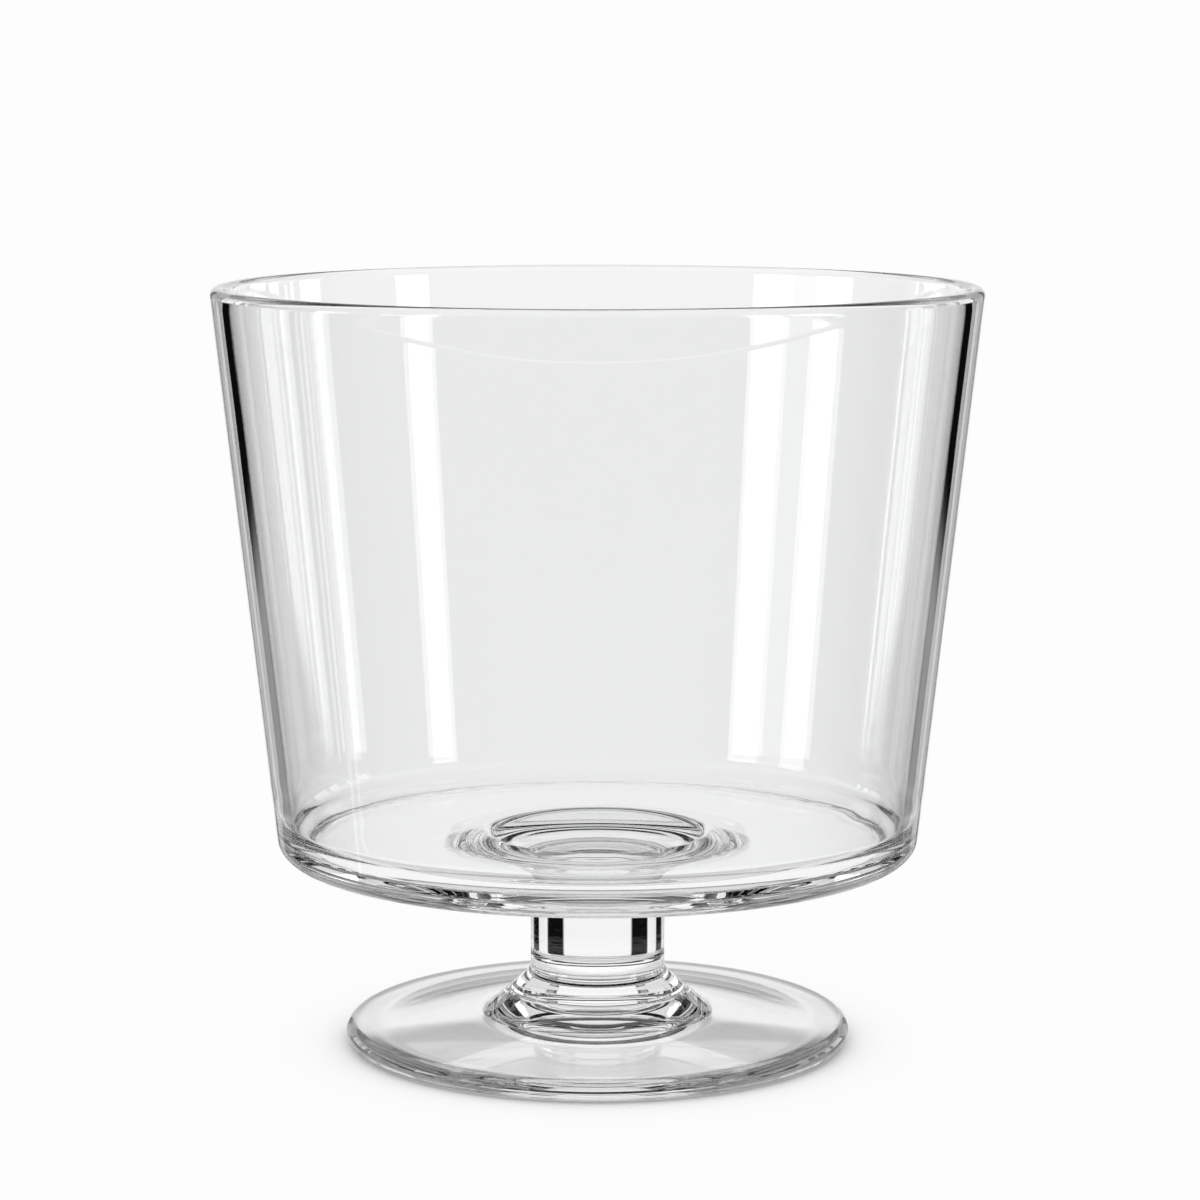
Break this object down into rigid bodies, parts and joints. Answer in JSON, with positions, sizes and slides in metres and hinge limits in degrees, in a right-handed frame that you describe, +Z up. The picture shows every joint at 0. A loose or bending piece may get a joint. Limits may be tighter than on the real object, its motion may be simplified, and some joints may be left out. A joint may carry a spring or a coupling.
{
  "type": "trifle bowl",
  "caption": "Footed clear glass trifle bowl: a deep straight-sided tapering bowl with a rounded rim, fused on a short flared stem over a round disc foot.",
  "frame": {"origin": "middle of the flat ring that the foot rests on, at the bottom of the bounding box", "axes": "+Z up along the axis of revolution, from the foot to the rim; X and Y are interchangeable"},
  "size_m": [0.2, 0.2, 0.1995],
  "materials": {
    "clear_glass": "colourless, fire-polished, smooth and glossy"
  },
  "bodies": {
    "root": {"bowl": "clear_glass", "stem": "clear_glass", "foot": "clear_glass"}
  },
  "joints": []
}
